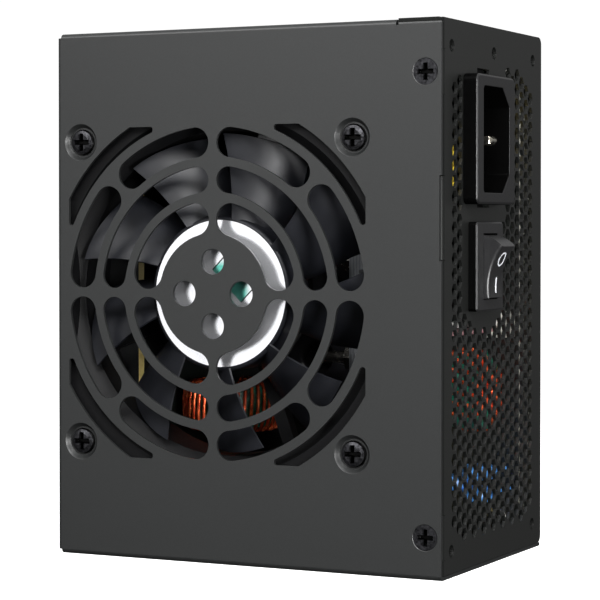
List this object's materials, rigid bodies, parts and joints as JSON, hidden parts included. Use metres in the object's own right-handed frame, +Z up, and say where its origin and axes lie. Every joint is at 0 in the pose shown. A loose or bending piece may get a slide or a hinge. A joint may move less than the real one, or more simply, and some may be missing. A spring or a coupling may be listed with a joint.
{
  "type": "power supply unit",
  "caption": "Compact computer power supply: folded black steel case with stamped fan grille, spinning fan, honeycomb mains panel, inlet socket, rocker switch and output sockets.",
  "frame": {"origin": "centre of the 100 x 63.5 mm side that the unit stands on", "axes": "+Z up along the 125 mm length, +X towards the mains panel with the inlet and switch, -Y towards the fan face"},
  "size_m": [0.1068, 0.0636, 0.125],
  "materials": {
    "black_case_steel": "fine satin powder coat on folded steel sheet",
    "black_epoxy": "moulded epoxy",
    "black_screw": "black oxide steel",
    "blue_epoxy": "dipped blue epoxy",
    "bronze": "sintered bronze",
    "capacitor_sleeve": "shrunk dark sleeve",
    "ceramic_tube": "fired ceramic with plated caps",
    "circuit_board": "glass-epoxy laminate, pale",
    "copper": "enamelled copper wire",
    "core_coating": "green epoxy coating on a powdered core",
    "fan_black_plastic": "moulded PBT",
    "fan_blade_plastic": "moulded PBT, satin",
    "ferrite": "ground ferrite",
    "heatsink_aluminium": "extruded aluminium",
    "inlet_plastic": "moulded polyamide, satin",
    "insulation_film": "polyester film",
    "nickel_plate": "nickel-plated steel",
    "plated_brass": "nickel-plated brass",
    "silver_label": "mirror silver foil",
    "socket_plastic": "moulded polyamide",
    "stator_steel": "stacked laminations",
    "steel": "turned or pressed steel",
    "white_connector": "moulded nylon",
    "white_ink": "pad-printed ink",
    "wire_sleeve": "extruded PVC",
    "yellow_tape": "yellow polyester"
  },
  "bodies": {
    "case": {"board_screws": "steel", "board_standoffs": "nickel_plate", "boost_choke_core": "core_coating", "boost_choke_winding": "copper", "bridge_rectifier": "black_epoxy", "bulk_capacitor": "capacitor_sleeve", "case_screws": "black_screw", "chassis": "black_case_steel", "control_board": "circuit_board", "control_chips": "black_epoxy", "cover": "black_case_steel", "earth_lead": "wire_sleeve", "fan_bearing": "bronze", "fan_circuit_board": "circuit_board", "fan_coils": "copper", "fan_connector": "white_connector", "fan_frame": "fan_black_plastic", "fan_lead": "wire_sleeve", "fan_screws": "black_screw", "fan_stator": "stator_steel", "fuse": "ceramic_tube", "heatsink_screws": "nickel_plate", "inlet_housing": "inlet_plastic", "inlet_pins": "plated_brass", "inrush_thermistor": "black_epoxy", "insulating_sheet": "insulation_film", "line_choke_core": "core_coating", "line_choke_windings": "copper", "live_lead": "wire_sleeve", "main_board": "circuit_board", "main_transformer_core": "ferrite", "main_transformer_winding": "yellow_tape", "neutral_lead": "wire_sleeve", "output_board": "circuit_board", "output_capacitors": "capacitor_sleeve", "output_choke_core": "core_coating", "output_choke_winding": "copper", "output_socket_10_way": "socket_plastic", "output_socket_18_way": "socket_plastic", "output_socket_pins": "plated_brass", "output_sockets_6_way": "socket_plastic", "output_sockets_8_way": "socket_plastic", "primary_heatsink": "heatsink_aluminium", "primary_transistors": "black_epoxy", "rectifier_transistors": "black_epoxy", "secondary_heatsink": "heatsink_aluminium", "standby_transformer_core": "ferrite", "standby_transformer_winding": "yellow_tape", "switch_housing": "inlet_plastic", "switch_lead": "wire_sleeve", "switch_terminals": "plated_brass", "x_capacitors": "yellow_tape", "y_capacitors": "blue_epoxy"},
    "fan": {"fan_rotor": "fan_blade_plastic", "fan_label": "silver_label", "fan_shaft": "steel", "fan_yoke": "steel", "fan_magnet": "ferrite"},
    "rocker": {"switch_rocker": "inlet_plastic", "rocker_marks": "white_ink"}
  },
  "joints": [
    {"name": "fan_spin", "type": "hinge", "parent": "case", "child": "fan", "pos_m": [-0.0075, -0.0251, 0.063], "axis": [0, -1, 0], "continuous": true},
    {"name": "switch_rock", "type": "hinge", "parent": "case", "child": "rocker", "pos_m": [0.0506, -0.0077, 0.0695], "axis": [0, -1, 0], "range_deg": [0, 30]}
  ]
}
